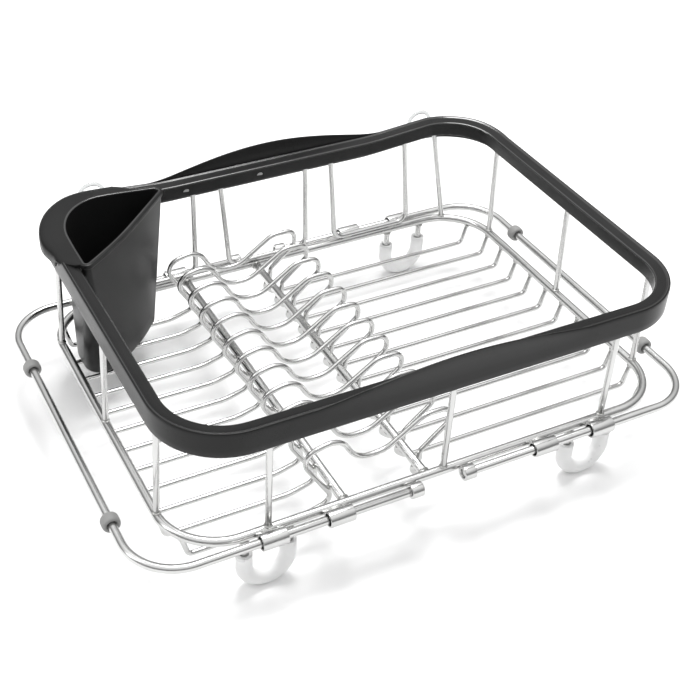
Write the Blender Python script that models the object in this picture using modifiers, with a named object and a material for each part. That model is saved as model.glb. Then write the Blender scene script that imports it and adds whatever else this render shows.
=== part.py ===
"""Wire dish drying rack with a moulded rim, sliding arms and a lift-off cutlery cup.

Metres, +Z up, +X to the right, +Y to the back. The floor is z = 0 and the rack is centred on it.
"""
import bpy
import bmesh
from math import atan2, ceil, cos, pi, radians, sin, sqrt, tan
from mathutils import Matrix, Vector

# ---------------------------------------------------------------- driving dimensions

GAP = 0.0003                    # between pieces that touch or are welded

RING_HALF_X = 0.172             # lower ring, centreline
RING_HALF_Y = 0.1243
RING_CORNER = 0.038
RING_WIRE = 0.0030              # radius
RING_Z = 0.0425                 # height of its centreline above the floor

RIM_Z = 0.127                   # top edge of the rim
RIM_OUTSET = 0.0021             # rim's outer wall beyond the ring's centreline, at the sides
RIM_OUTSET_Y = 0.0053           # and at the front and back
RIM_WIDTH = 0.0095
RIM_CORNER = 0.046
RIM_WALL = 0.0018
RIM_OUTER_DEPTH = 0.0171        # height of the outer wall
RIM_INNER_DEPTH = 0.0114        # the inner wall ends this far under the top edge
RIM_BEAD = 0.0011               # raised edge along the outer top edge
RIM_SLOPE = 0.0006              # the top face falls this much towards the inside
LIP_RISE = 0.0113               # pull lips at the middle of the front and back
LIP_FLARE = 0.0028
LIP_HALF = 0.092
WINDOW_X = (-0.066, -0.010)     # snap windows in the rim's back inner wall
WINDOW_SIZE = (0.007, 0.0032)

UPPER_WIRE = 0.0025             # radius of the ring inside the rim
UPPER_DROP = 0.0065             # its centreline under the rim's top edge
POST_WIRE = 0.0020              # radius of the uprights and U wires
SIDE_POST_Y = RING_HALF_Y - 0.0363
FRONT_POST_X = RING_HALF_X - 0.0545
CORNER_POST_BOTTOM = RING_HALF_X - 0.0231   # x of the back corner wires, on the lower ring
CORNER_POST_TOP = RING_HALF_X - 0.036       # and on the upper ring

# Left and right legs of the back U wires, at the bottom and at the top.
BACK_U_BOTTOM = ((0.054 - RING_HALF_X, -0.0594), (-0.0317, 0.030), (0.055, RING_HALF_X - 0.0535))
BACK_U_TOP = ((0.0515 - RING_HALF_X, -0.0595), (-0.039, 0.0281), (0.0485, RING_HALF_X - 0.0613))
BACK_U_BEND = 0.008
BACK_U_INSET = 0.001            # their bottom runs, inside the ring's centreline

RAIL_X = (-0.0671, -0.01185)    # long wires under the plate wires
RAIL_WIRE = 0.0030

PLATE_WIRE = 0.0017             # radius
PLATE_COUNT = 12
PLATE_MARGIN = 0.016665         # first and last plate wires, inside the ring's centreline
PLATE_PITCH = 2 * (RING_HALF_Y - PLATE_MARGIN) / (PLATE_COUNT - 1)
PLATE_DROP = 0.0182             # base runs under the ring's centreline
PLATE_INSET = 0.0047            # the base runs end this far inside the ring's centreline
PLATE_BEND = 0.004

SLEEVE_OUTER = 0.0052           # radius
SLEEVE_LENGTH = 0.0164
SLEEVE_X = (RING_HALF_X - 0.1003, RING_HALF_X - 0.05725)    # inner and outer guide sleeves
FRONT_SLEEVE_SHIFT = -0.0032    # the front sleeves sit this much further to the left
ARM_WIRE = 0.00275              # radius
ARM_CLEARANCE = 0.00115         # between an arm and the bore of its sleeves
ARM_RUN_X = RING_HALF_X + 0.0222    # outer runs, from the middle of the closed rack
ARM_OFFSET = 0.00385            # the ring's middle is this far right of the arms' middle
ARM_BEND = 0.033
COLLAR_OUTER = 0.00475          # stop collars on the arms' ends
COLLAR_LENGTH = 0.008
COLLAR_X = {"left": 0.0202, "right": 0.0167}    # their distance from the middle
COLLAR_MOUTH = 0.002            # the arm stops this far inside its collar
BUMPER_OUTER = 0.0057
BUMPER_LENGTH = 0.0072
BUMPER_Y = {
    "left": (0.0426 - RING_HALF_Y, RING_HALF_Y - 0.052),
    "right": (0.0481 - RING_HALF_Y, RING_HALF_Y - 0.0455),
}

FOOT_X = {
    "front": (0.0534 - RING_HALF_X, RING_HALF_X - 0.0635),
    "back": (0.056 - RING_HALF_X, RING_HALF_X - 0.056),
}
FOOT_WIRE = 0.0025              # radius
FOOT_BEND = 0.01425
COVER_OUTER = 0.0052
COVER_WALL = 0.0020
COVER_TOP = 0.013               # mouths of the covers under the ring's centreline
SOLE_CUT = 0.0008               # pressed flat where the covers stand

LOOP_X = RING_HALF_X - 0.043    # clear loops behind the rim
LOOP_WIRE = 0.0013
LOOP_WIDTH = 0.0176
LOOP_STANDOFF = 0.0059          # behind the rim's outer wall
LOOP_TOP = 0.134
LOOP_BOTTOM = 0.1145

CUP_FIT = 0.0011                # between the cup's walls and the rim's inner wall
CUP_WALL = 0.0020
CUP_TOP = 0.1297
CUP_BOTTOM = 0.0275
CUP_FRONT_Y = RING_HALF_Y - 0.0788  # where its front wall would meet its left wall
CUP_TIP_X = 0.0926 - RING_HALF_X    # where its front wall would meet its back wall
CUP_BULGE = 0.0024
CUP_DRAFT = 0.0016
CUP_FLANGE_Y = RING_HALF_Y - 0.0643 # the flange over the rim starts here on the left
CUP_FLANGE_X = 0.060 - RING_HALF_X  # and ends here at the back
CUP_FLANGE_TAPER = 0.008        # it grows to its full width over this length
CUP_FLANGE_SWELL = 0.0034       # it stands out this much more at the corner,
CUP_SWELL_Y = RING_HALF_Y - 0.0523  # from here on the left
CUP_SWELL_X = 0.045 - RING_HALF_X   # to here at the back
CUP_BEAD = 0.0004               # overhang of the lip where there is no flange
CUP_SKIRT_WALL = 0.0014
CUP_SKIRT_DEPTH = 0.008
CUP_FLANGE_THICK = 0.0021
CUP_SEAT = 0.0005               # between the flange and the rim's top edge

# ---------------------------------------------------------------- derived places

RIM_HALF_X = RING_HALF_X + RIM_OUTSET
RIM_HALF_Y = RING_HALF_Y + RIM_OUTSET_Y
UPPER_HALF_X = RIM_HALF_X - RIM_WIDTH / 2
UPPER_HALF_Y = RIM_HALF_Y - RIM_WIDTH / 2
UPPER_CORNER = RIM_CORNER - RIM_WIDTH / 2
UPPER_Z = RIM_Z - UPPER_DROP
POST_BOTTOM = RING_Z + RING_WIRE + GAP
POST_TOP = UPPER_Z - UPPER_WIRE - GAP
ARM_Y = RING_HALF_Y + RING_WIRE + GAP + SLEEVE_OUTER
SLEEVE_BORE = ARM_WIRE + ARM_CLEARANCE

# The formed part of a plate wire between the base runs: x, height over the ring's centreline
# and bend radius. It passes outside both rails and carries two humps with a trough between.
LEFT_RAIL, RIGHT_RAIL = RAIL_X
PLATE_FORM = (
    (LEFT_RAIL - 0.0189, -PLATE_DROP, 0.035),
    (LEFT_RAIL + 0.0019, -0.0125, 0.0065),
    (LEFT_RAIL - 0.0251, 0.0299, 0.0075),
    (LEFT_RAIL + 0.0023, 0.0336, 0.004),
    (LEFT_RAIL + 0.0146, 0.0146, 0.014),
    (RIGHT_RAIL - 0.0202, 0.0146, 0.020),
    (RIGHT_RAIL + 0.0059, 0.0330, 0.014),
    (RIGHT_RAIL + 0.0242, 0.0330, 0.007),
    (RIGHT_RAIL + 0.0242, 0.0209, 0.006),
    (RIGHT_RAIL + 0.0053, 0.0041, 0.004),
    (RIGHT_RAIL + 0.0053, -0.0032, 0.005),
    (RIGHT_RAIL - 0.0004, -0.0102, 0.004),
    (RIGHT_RAIL + 0.0084, -PLATE_DROP, 0.012),
)

for old in list(bpy.data.objects):
    bpy.data.objects.remove(old)

parts = bpy.data.collections.new("dish_rack")
cutters = bpy.data.collections.new("cutters")
bpy.context.scene.collection.children.link(parts)
bpy.context.scene.collection.children.link(cutters)


# ---------------------------------------------------------------- materials

def make_material(name, colour, roughness, metallic=0.0, alpha=1.0):
    """A Principled BSDF with one plain finish."""
    material = bpy.data.materials.new(name)
    material.use_nodes = True
    shader = material.node_tree.nodes["Principled BSDF"]
    shader.inputs["Base Color"].default_value = (*colour, 1.0)
    shader.inputs["Roughness"].default_value = roughness
    shader.inputs["Metallic"].default_value = metallic
    shader.inputs["Alpha"].default_value = alpha
    return material


steel = make_material("steel_wire", (0.62, 0.62, 0.61), 0.22, metallic=1.0)
rim_plastic = make_material("rim_plastic", (0.045, 0.045, 0.045), 0.45)
cup_plastic = make_material("cup_plastic", (0.060, 0.060, 0.060), 0.42)
rubber = make_material("bumper_rubber", (0.17, 0.17, 0.17), 0.7)
milky = make_material("cover_plastic", (0.80, 0.81, 0.80), 0.3, alpha=0.6)
clear = make_material("loop_plastic", (0.85, 0.86, 0.86), 0.1, alpha=0.4)


# ---------------------------------------------------------------- modelling helpers

def add_part(name, data, material, location=(0, 0, 0), rotation=(0, 0, 0)):
    """Put a named piece with its material into the rack's collection."""
    data.name = name
    data.materials.append(material)
    piece = bpy.data.objects.new(name, data)
    piece.location = location
    piece.rotation_euler = rotation
    parts.objects.link(piece)
    return piece


def fillet(corners, step=radians(40)):
    """Points of an open path; each corner is (point, bend radius) and each bend an arc."""
    points = [corners[0][0]]
    for (before, _), (corner, radius), (after, _) in zip(corners, corners[1:], corners[2:]):
        to_before = (before - corner).normalized()
        to_after = (after - corner).normalized()
        turn = pi - to_before.angle(to_after)
        reach = radius * tan(turn / 2)
        middle = (to_before + to_after).normalized()
        centre = corner + middle * sqrt(radius ** 2 + reach ** 2)
        start = corner + to_before * reach - centre
        side = corner + to_after * reach - centre
        count = max(1, ceil(turn / step - 0.01))
        for index in range(count + 1):
            angle = turn * index / count
            share = sin(angle) / sin(turn)
            points.append(centre + start * (cos(angle) - share * cos(turn)) + side * share)
    points.append(corners[-1][0])
    return points


def rounded_rectangle(half_x, half_y, radius, arc_steps=8, front_xs=()):
    """Closed outline as (point, outward direction), anticlockwise from the back right corner.

    The back stretch gets extra stations at front_xs, and the front the same ones turned round.
    """
    stations = []
    for quarter in range(4):
        sign_x = (1, -1, -1, 1)[quarter]
        sign_y = (1, 1, -1, -1)[quarter]
        centre = Vector((sign_x * (half_x - radius), sign_y * (half_y - radius), 0))
        for index in range(arc_steps + 1):
            angle = (quarter + index / arc_steps) * pi / 2
            out = Vector((cos(angle), sin(angle), 0))
            stations.append((centre + out * radius, out))
        if quarter % 2 == 0:
            stations += [(Vector((sign_y * x, sign_y * half_y, 0)), Vector((0, sign_y, 0)))
                         for x in front_xs]
    return stations


def wire_curve(points, radius, cyclic=False, sides=8, caps=True):
    """A round wire along a list of points."""
    curve = bpy.data.curves.new("wire", "CURVE")
    curve.dimensions = "3D"
    curve.bevel_depth = radius
    curve.bevel_resolution = sides // 2 - 2
    curve.use_fill_caps = caps
    spline = curve.splines.new("POLY")
    spline.points.add(len(points) - 1)
    for target, point in zip(spline.points, points):
        target.co = (*point, 1.0)
    spline.use_cyclic_u = cyclic
    spline.use_smooth = True
    return curve


def add_wire(name, points, radius, material=steel, cyclic=False, sides=8, location=(0, 0, 0)):
    """A wire piece; its points are relative to its location."""
    curve = wire_curve(points, radius, cyclic, sides)
    return add_part(name, curve, material, location)


def add_turned(name, profile, material, location, axis, steps=16):
    """A turned piece: a closed profile (radius, height), outer side first, from top to bottom."""
    mesh = bpy.data.meshes.new(name)
    points = [(radius, 0, height) for radius, height in profile]
    edges = [(index, (index + 1) % len(points)) for index in range(len(points))]
    mesh.from_pydata(points, edges, [])
    turn = {"X": (0, pi / 2, 0), "Y": (pi / 2, 0, 0)}[axis]
    piece = add_part(name, mesh, material, location, turn)
    screw = piece.modifiers.new("turn", "SCREW")
    screw.steps = steps
    screw.render_steps = steps
    screw.use_merge_vertices = True
    screw.merge_threshold = 0.00005
    screw.use_smooth_shade = True
    return piece


def add_tube(name, outer, bore, length, material, location, axis):
    """A plain tube, turned about its own middle."""
    half = length / 2
    profile = ((outer, half), (outer, -half), (bore, -half), (bore, half))
    return add_turned(name, profile, material, location, axis)


def loft(sections, closed_ends=False):
    """Skin between closed sections of equal length; open ends are capped, or joined in a loop."""
    mesh = bpy.data.meshes.new("loft")
    shape = bmesh.new()
    rings = [[shape.verts.new(point) for point in section] for section in sections]
    pairs = list(zip(rings, rings[1:]))
    if closed_ends:
        pairs.append((rings[-1], rings[0]))
    for ring, following in pairs:
        for index in range(len(ring)):
            after = (index + 1) % len(ring)
            shape.faces.new((ring[index], ring[after], following[after], following[index]))
    if not closed_ends:
        shape.faces.new(reversed(rings[0]))
        shape.faces.new(rings[-1])
    bmesh.ops.recalc_face_normals(shape, faces=shape.faces)
    shape.to_mesh(mesh)
    shape.free()
    return mesh


def surface_from_curve(curve, name):
    """An open, smooth mesh surface from a wire curve without caps."""
    holder = bpy.data.objects.new("holder", curve)
    parts.objects.link(holder)
    bpy.context.view_layer.update()
    evaluated = holder.evaluated_get(bpy.context.evaluated_depsgraph_get())
    mesh = bpy.data.meshes.new_from_object(evaluated)
    mesh.name = name
    bpy.data.objects.remove(holder)
    return mesh


def add_cutter(name, size, location):
    """A box that is cut away from a piece."""
    mesh = bpy.data.meshes.new(name)
    shape = bmesh.new()
    bmesh.ops.create_cube(shape, size=1.0, matrix=Matrix.Diagonal((*size, 1.0)))
    shape.to_mesh(mesh)
    shape.free()
    cutter = bpy.data.objects.new(name, mesh)
    cutter.location = location
    cutter.hide_render = True
    cutter.display_type = "WIRE"
    cutters.objects.link(cutter)
    return cutter


def cut_away(piece, cutter):
    """Take the cutter's volume out of a piece."""
    boolean = piece.modifiers.new(cutter.name, "BOOLEAN")
    boolean.operation = "DIFFERENCE"
    boolean.object = cutter


def add_slide_empty(name, location):
    """An empty that stands for a moving group, on the axis that it slides along."""
    empty = bpy.data.objects.new(name, None)
    empty.location = location
    empty.empty_display_size = 0.02
    parts.objects.link(empty)
    return empty


def attach(piece, empty):
    """Make a piece follow an empty from where it stands."""
    piece.parent = empty
    piece.matrix_parent_inverse = Matrix.Translation(-empty.location)


# ---------------------------------------------------------------- frame

def ring_x_at(y):
    """Half width of the lower ring's centreline at a given y."""
    over = abs(y) - (RING_HALF_Y - RING_CORNER)
    if over <= 0:
        return RING_HALF_X
    return RING_HALF_X - RING_CORNER + sqrt(RING_CORNER ** 2 - over ** 2)


def corner_y(x, half_x, half_y, radius):
    """y of a ring's centreline where it rounds a back corner at a given x."""
    over = max(0.0, abs(x) - (half_x - radius))
    return half_y - radius + sqrt(radius ** 2 - over ** 2)


def build_rings():
    """The thick lower ring and the thinner ring that the rim hides."""
    lower = rounded_rectangle(RING_HALF_X, RING_HALF_Y, RING_CORNER)
    add_wire("lower_ring", [point for point, _ in lower], RING_WIRE, cyclic=True, sides=10,
             location=(0, 0, RING_Z))
    upper = rounded_rectangle(UPPER_HALF_X, UPPER_HALF_Y, UPPER_CORNER)
    add_wire("upper_ring", [point for point, _ in upper], UPPER_WIRE, cyclic=True,
             location=(0, 0, UPPER_Z))


def rim_section(point, out, lip):
    """The rim's closed channel section at one station; lip is 0 to 1 along a pull lip."""
    top = RIM_Z + lip * LIP_RISE
    flare = lip * LIP_FLARE
    face = RIM_Z - RIM_BEAD
    profile = (
        (0.0, RIM_Z - RIM_OUTER_DEPTH),
        (0.0, RIM_Z - 0.45 * RIM_OUTER_DEPTH),
        (-flare, top),
        (RIM_WALL * 0.8 - flare, top),
        (RIM_WALL * 1.1, face),
        (RIM_WIDTH, face - RIM_SLOPE),
        (RIM_WIDTH, RIM_Z - RIM_INNER_DEPTH),
        (RIM_WIDTH - RIM_WALL, RIM_Z - RIM_INNER_DEPTH),
        (RIM_WIDTH - RIM_WALL, face - RIM_SLOPE - RIM_WALL),
        (RIM_WALL, face - RIM_WALL),
        (RIM_WALL, RIM_Z - RIM_OUTER_DEPTH),
    )
    return [point - out * inward + Vector((0, 0, height)) for inward, height in profile]


def build_rim():
    """The moulded channel that caps the upper ring, with its pull lips and snap windows."""
    lip_stations = 22
    xs = [LIP_HALF * (1 - 2 * index / lip_stations) for index in range(lip_stations + 1)]
    sections = []
    for point, out in rounded_rectangle(RIM_HALF_X, RIM_HALF_Y, RIM_CORNER, front_xs=xs):
        on_long_side = abs(point.x) < LIP_HALF and abs(out.y) > 0.999
        share = min(1.0, abs(point.x) / LIP_HALF)
        lip = (1 - share ** 2) ** 1.5 if on_long_side else 0.0
        sections.append(rim_section(point, out, lip))
    rim = add_part("rim", loft(sections, closed_ends=True), rim_plastic)
    window_z = RIM_Z - 0.0062
    for index, x in enumerate(WINDOW_X):
        size = (WINDOW_SIZE[0], RIM_WALL * 2, WINDOW_SIZE[1])
        place = (x, RIM_HALF_Y - RIM_WIDTH + RIM_WALL / 2, window_z)
        cut_away(rim, add_cutter(f"window_cutter_{index + 1}", size, place))


def add_post(name, bottom_xy, top_xy):
    """A straight upright between the two rings."""
    bottom = Vector((*bottom_xy, POST_BOTTOM))
    top = Vector((*top_xy, POST_TOP))
    add_wire(name, [Vector(), top - bottom], POST_WIRE, location=bottom)


def build_posts():
    """Uprights at the sides, at the front and at the back corners."""
    for side, sign in (("left", -1), ("right", 1)):
        for place, y in (("front", -SIDE_POST_Y), ("middle", 0.0), ("back", SIDE_POST_Y)):
            bottom_x = sign * ring_x_at(y)
            over = max(0.0, abs(y) - (UPPER_HALF_Y - UPPER_CORNER))
            top_x = sign * (UPPER_HALF_X - UPPER_CORNER + sqrt(UPPER_CORNER ** 2 - over ** 2))
            add_post(f"{side}_upright_{place}", (bottom_x, y), (top_x, y))
        bottom_y = corner_y(CORNER_POST_BOTTOM, RING_HALF_X, RING_HALF_Y, RING_CORNER)
        top_y = corner_y(CORNER_POST_TOP, UPPER_HALF_X, UPPER_HALF_Y, UPPER_CORNER)
        add_post(f"{side}_back_corner_wire", (sign * CORNER_POST_BOTTOM, bottom_y),
                 (sign * CORNER_POST_TOP, top_y))
    for place, x in (("left", -FRONT_POST_X), ("middle", 0.0), ("right", FRONT_POST_X)):
        add_post(f"front_upright_{place}", (x, -RING_HALF_Y), (x, -UPPER_HALF_Y))


def build_back_wires():
    """Three U wires that stand on the back of the lower ring."""
    y = RING_HALF_Y - BACK_U_INSET
    run_z = RING_Z + RING_WIRE + GAP + POST_WIRE
    for place, bottom, top in zip(("left", "middle", "right"), BACK_U_BOTTOM, BACK_U_TOP):
        corners = [
            (Vector((top[0], UPPER_HALF_Y, POST_TOP)), 0),
            (Vector((bottom[0], y, run_z)), BACK_U_BEND),
            (Vector((bottom[1], y, run_z)), BACK_U_BEND),
            (Vector((top[1], UPPER_HALF_Y, POST_TOP)), 0),
        ]
        add_wire(f"back_u_wire_{place}", fillet(corners, radians(30)), POST_WIRE)


def build_rails():
    """Two thick wires from the front to the back, under the plate wires' humps."""
    half = RING_HALF_Y - RING_WIRE - GAP
    for side, x in zip(("left", "right"), RAIL_X):
        ends = [Vector((0, -half, 0)), Vector((0, half, 0))]
        add_wire(f"{side}_rail", ends, RAIL_WIRE, location=(x, 0, RING_Z))


def plate_wire_path(half_ring):
    """One plate wire in its own plane, from the left side of the ring to its right side."""
    ends = []
    for sign in (-1, 1):
        bend = Vector((sign * (half_ring - PLATE_INSET), 0, -PLATE_DROP))
        ring = Vector((sign * half_ring, 0, 0))
        stop = RING_WIRE + GAP
        tip = ring + (bend - ring).normalized() * stop
        ends.append((tip, bend))
    corners = [(ends[0][0], 0), (ends[0][1], PLATE_BEND)]
    corners += [(Vector((x, 0, z)), radius) for x, z, radius in PLATE_FORM]
    corners += [(ends[1][1], PLATE_BEND), (ends[1][0], 0)]
    return fillet(corners)


def build_plate_wires():
    """Twelve formed wires side by side; plates stand between them."""
    for index in range(PLATE_COUNT):
        y = (index - (PLATE_COUNT - 1) / 2) * PLATE_PITCH
        add_wire(f"plate_wire_{index + 1:02d}", plate_wire_path(ring_x_at(y)), PLATE_WIRE,
                 sides=6, location=(0, y, RING_Z))


def build_feet():
    """A U wire under each end of the long sides, in a soft milky cover."""
    for end, sign_y in (("front", -1), ("back", 1)):
        for side, x in zip(("left", "right"), FOOT_X[end]):
            place = Vector((x, sign_y * RING_HALF_Y, 0))
            centre_z = COVER_OUTER - SOLE_CUT + FOOT_BEND
            arc = [Vector((-FOOT_BEND * cos(angle), 0, centre_z - FOOT_BEND * sin(angle)))
                   for angle in (pi * index / 8 for index in range(9))]
            leg_top = RING_Z - RING_WIRE - GAP
            legs = [Vector((-FOOT_BEND, 0, leg_top)), Vector((FOOT_BEND, 0, leg_top))]
            add_wire(f"{side}_{end}_foot", [legs[0], *arc, legs[1]], FOOT_WIRE, location=place)
            mouth = RING_Z - COVER_TOP
            tops = [Vector((-FOOT_BEND, 0, mouth)), Vector((FOOT_BEND, 0, mouth))]
            curve = wire_curve([tops[0], *arc, tops[1]], COVER_OUTER, caps=False)
            name = f"{side}_{end}_foot_cover"
            cover = add_part(name, surface_from_curve(curve, name), milky, place)
            wall = cover.modifiers.new("wall", "SOLIDIFY")
            wall.thickness = COVER_WALL
            wall.offset = -1
            wall.use_even_offset = True
            size = (FOOT_BEND * 4, COVER_OUTER * 3, COVER_OUTER)
            ground = add_cutter(f"{name}_sole_cutter", size, place - Vector((0, 0, COVER_OUTER / 2)))
            cut_away(cover, ground)


def build_loops():
    """Clear loops that stand behind the rim, near the back corners."""
    for side, sign in (("left", -1), ("right", 1)):
        wall = RIM_HALF_Y + GAP
        back = RIM_HALF_Y + LOOP_STANDOFF
        half = LOOP_WIDTH / 2
        corners = [
            (Vector((-half, wall, LOOP_BOTTOM)), 0),
            (Vector((-half, back, LOOP_BOTTOM)), 0.003),
            (Vector((-half, back, LOOP_TOP - LOOP_WIRE)), 0.0065),
            (Vector((half, back, LOOP_TOP - LOOP_WIRE)), 0.0065),
            (Vector((half, back, LOOP_BOTTOM)), 0.003),
            (Vector((half, wall, LOOP_BOTTOM)), 0),
        ]
        add_wire(f"{side}_clear_loop", fillet(corners, radians(30)), LOOP_WIRE, clear, sides=6,
                 location=(sign * LOOP_X, 0, 0))


# ---------------------------------------------------------------- sliding arms

def build_sleeves():
    """Guide sleeves welded outside the front and the back of the lower ring."""
    for end, sign_y, shift in (("front", -1, FRONT_SLEEVE_SHIFT), ("back", 1, 0.0)):
        for side, sign_x in (("left", -1), ("right", 1)):
            for place, x in zip(("inner", "outer"), SLEEVE_X):
                centre = (sign_x * x + shift, sign_y * ARM_Y, RING_Z)
                add_tube(f"{side}_{end}_sleeve_{place}", SLEEVE_OUTER, SLEEVE_BORE,
                         SLEEVE_LENGTH, steel, centre, "X")


def build_arm(side, sign):
    """A U rod with its two stop collars and two rubber bumpers."""
    empty = add_slide_empty(f"{side}_arm_slide", Vector((sign * ARM_RUN_X, 0, RING_Z)))
    collar_x = COLLAR_X[side]
    end_x = collar_x - COLLAR_LENGTH / 2 + COLLAR_MOUTH
    corners = [
        (Vector((sign * end_x, -ARM_Y, RING_Z)), 0),
        (Vector((sign * ARM_RUN_X, -ARM_Y, RING_Z)), ARM_BEND),
        (Vector((sign * ARM_RUN_X, ARM_Y, RING_Z)), ARM_BEND),
        (Vector((sign * end_x, ARM_Y, RING_Z)), 0),
    ]
    pieces = [add_wire(f"{side}_arm", fillet(corners, radians(11.3)), ARM_WIRE)]
    bore = ARM_WIRE + GAP
    half = BUMPER_LENGTH / 2
    round_off = BUMPER_OUTER * 0.2
    bumper_profile = (
        (BUMPER_OUTER - round_off, half),
        (BUMPER_OUTER, half - round_off),
        (BUMPER_OUTER, round_off - half),
        (BUMPER_OUTER - round_off, -half),
        (bore, -half),
        (bore, half),
    )
    for end, sign_y, bumper_y in zip(("front", "back"), (-1, 1), BUMPER_Y[side]):
        pieces.append(add_tube(f"{side}_{end}_stop_collar", COLLAR_OUTER, bore, COLLAR_LENGTH,
                               steel, (sign * collar_x, sign_y * ARM_Y, RING_Z), "X"))
        pieces.append(add_turned(f"{side}_{end}_bumper", bumper_profile, rubber,
                                 (sign * ARM_RUN_X, bumper_y, RING_Z), "Y"))
    for piece in pieces:
        attach(piece, empty)


# ---------------------------------------------------------------- cutlery cup

def cup_corner(corner, before, after, radius, steps):
    """One rounded corner of the cup's plan as (point, outward direction)."""
    to_before = (before - corner).normalized()
    to_after = (after - corner).normalized()
    opening = to_before.angle(to_after)
    centre = corner + (to_before + to_after).normalized() * radius / sin(opening / 2)
    first = atan2(-to_before.x, to_before.y)
    turn = pi - opening
    stations = []
    for index in range(steps + 1):
        angle = first - turn * index / steps
        out = Vector((cos(angle), sin(angle), 0))
        stations.append((centre + out * radius, out))
    return stations


def cup_outline(inset, radii):
    """The cup's rounded three-cornered plan, clockwise from its front left corner."""
    left = -(RIM_HALF_X - RIM_WIDTH - CUP_FIT)
    back = RIM_HALF_Y - RIM_WIDTH - CUP_FIT
    front_left = Vector((left, CUP_FRONT_Y, 0))
    tip = Vector((CUP_TIP_X, back, 0))
    run = (tip - front_left).normalized()
    inward = Vector((-run.y, run.x, 0))
    offset = front_left + inward * inset
    front_left = offset + run * ((left + inset - offset.x) / run.x)
    tip = offset + run * ((back - inset - offset.y) / run.y)
    back_left = Vector((left + inset, back - inset, 0))
    stations = cup_corner(front_left, tip, back_left, radii[0], 5)
    stations += straight(stations[-1], cup_corner(back_left, front_left, tip, radii[1], 8), 6)
    stations += straight(stations[-1], cup_corner(tip, back_left, front_left, radii[2], 6), 6)
    stations += bulged(stations[-1], stations[0], 6, -inward)
    return stations


def straight(last, corner, steps):
    """Stations along a straight wall, then the corner that it leads to."""
    point, out = last
    walk = [(point.lerp(corner[0][0], index / steps), out) for index in range(1, steps)]
    return walk + corner


def bulged(last, first, steps, out):
    """Stations along the front wall, which swells a little in its middle."""
    walk = []
    for index in range(1, steps):
        share = index / steps
        swell = 4 * share * (1 - share) * CUP_BULGE
        walk.append((last[0].lerp(first[0], share) + out * swell, out))
    return walk


def ramp(value, start, end):
    """0 before start, 1 after end, straight between."""
    return min(1.0, max(0.0, (value - start) / (end - start)))


def cup_flange(wall):
    """Reach and drop of the flange at each station: over the rim, with a skirt behind it."""
    over_rim = RIM_WIDTH + CUP_FIT + GAP
    shares = []
    for point, out in wall:
        on_rim = out.x < 0.05 and out.y > -0.05 and (out.x < -0.05 or out.y > 0.05)
        left = ramp(point.y, CUP_FLANGE_Y - CUP_FLANGE_TAPER, CUP_FLANGE_Y)
        back = ramp(-point.x, -CUP_FLANGE_X - CUP_FLANGE_TAPER, -CUP_FLANGE_X)
        shares.append(min(left, back) if on_rim else 0.0)
    reaches = []
    for index, (point, _) in enumerate(wall):
        following = shares[(index + 1) % len(shares)]
        skirt = 1.0 if min(shares[index - 1], shares[index], following) == 1.0 else 0.0
        swell = ramp(point.y, CUP_SWELL_Y, CUP_SWELL_Y + 0.014)
        swell = min(swell, ramp(-point.x, -CUP_SWELL_X, -CUP_SWELL_X + 0.018))
        reach = CUP_BEAD + shares[index] * over_rim + swell * CUP_FLANGE_SWELL
        reaches.append((reach, CUP_BEAD + skirt * CUP_SKIRT_DEPTH))
    return reaches


def build_cup():
    """The cutlery cup that hangs on the rim in the back left corner."""
    corner = RIM_CORNER - RIM_WIDTH - CUP_FIT
    top_radii = (0.0034, corner, 0.0046)
    base_radii = (0.012, corner - 0.002, 0.009)
    flange_z = RIM_Z + CUP_SEAT
    wall_top = cup_outline(0.0, top_radii)
    lip_inside = cup_outline(CUP_WALL, (0.0030, corner - CUP_WALL, 0.0034))
    base = cup_outline(CUP_DRAFT, base_radii)
    base_edge = cup_outline(CUP_DRAFT + 0.0035, (0.0105, corner - 0.0055, 0.0075))
    base_inside = cup_outline(CUP_DRAFT + CUP_WALL, (0.0105, corner - 0.004, 0.0075))
    floor_inside = cup_outline(CUP_DRAFT + CUP_WALL + 0.003, (0.009, corner - 0.007, 0.006))

    def at_height(outline, height):
        return [point + Vector((0, 0, height)) for point, _ in outline]

    under, skirt_in, skirt_out, top_out = [], [], [], []
    for (point, out), (reach, drop) in zip(wall_top, cup_flange(wall_top)):
        inner = point + out * reach
        outer = inner + out * CUP_SKIRT_WALL
        skirt_z = flange_z - drop
        under.append(inner + Vector((0, 0, flange_z)))
        skirt_in.append(inner + Vector((0, 0, skirt_z)))
        skirt_out.append(outer + Vector((0, 0, skirt_z)))
        top_out.append(outer + Vector((0, 0, flange_z + CUP_FLANGE_THICK)))
    rings = [
        at_height(base_edge, CUP_BOTTOM),
        at_height(base, CUP_BOTTOM + 0.003),
        at_height(wall_top, flange_z),
        under, skirt_in, skirt_out, top_out,
        at_height(lip_inside, CUP_TOP),
        at_height(base_inside, CUP_BOTTOM + CUP_WALL + 0.0025),
        at_height(floor_inside, CUP_BOTTOM + CUP_WALL),
    ]
    cup = add_part("cutlery_cup", loft(rings), cup_plastic)
    middle = sum((point for point, _ in wall_top), Vector()) / len(wall_top)
    attach(cup, add_slide_empty("cup_lift", Vector((middle.x, middle.y, RIM_Z))))


def centre_closed_rack():
    """Stand everything but the arms to the right, so that the closed rack is centred."""
    for piece in [*parts.objects, *cutters.objects]:
        if piece.parent is None and piece.name not in ("left_arm_slide", "right_arm_slide"):
            piece.location.x += ARM_OFFSET


build_rings()
build_rim()
build_posts()
build_back_wires()
build_rails()
build_plate_wires()
build_feet()
build_loops()
build_sleeves()
build_arm("left", -1)
build_arm("right", 1)
build_cup()
centre_closed_rack()
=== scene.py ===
"""Looks of the wire dish drying rack: smooth wires, moulded rim and cup, welds, soft covers.

Metres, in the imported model's frame. Places are read from the CAD nodes' boxes; wire sizes,
bends and mouldings are named values here.
"""
from math import atan2, ceil, cos, pi, radians, sin, sqrt, tan

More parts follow.
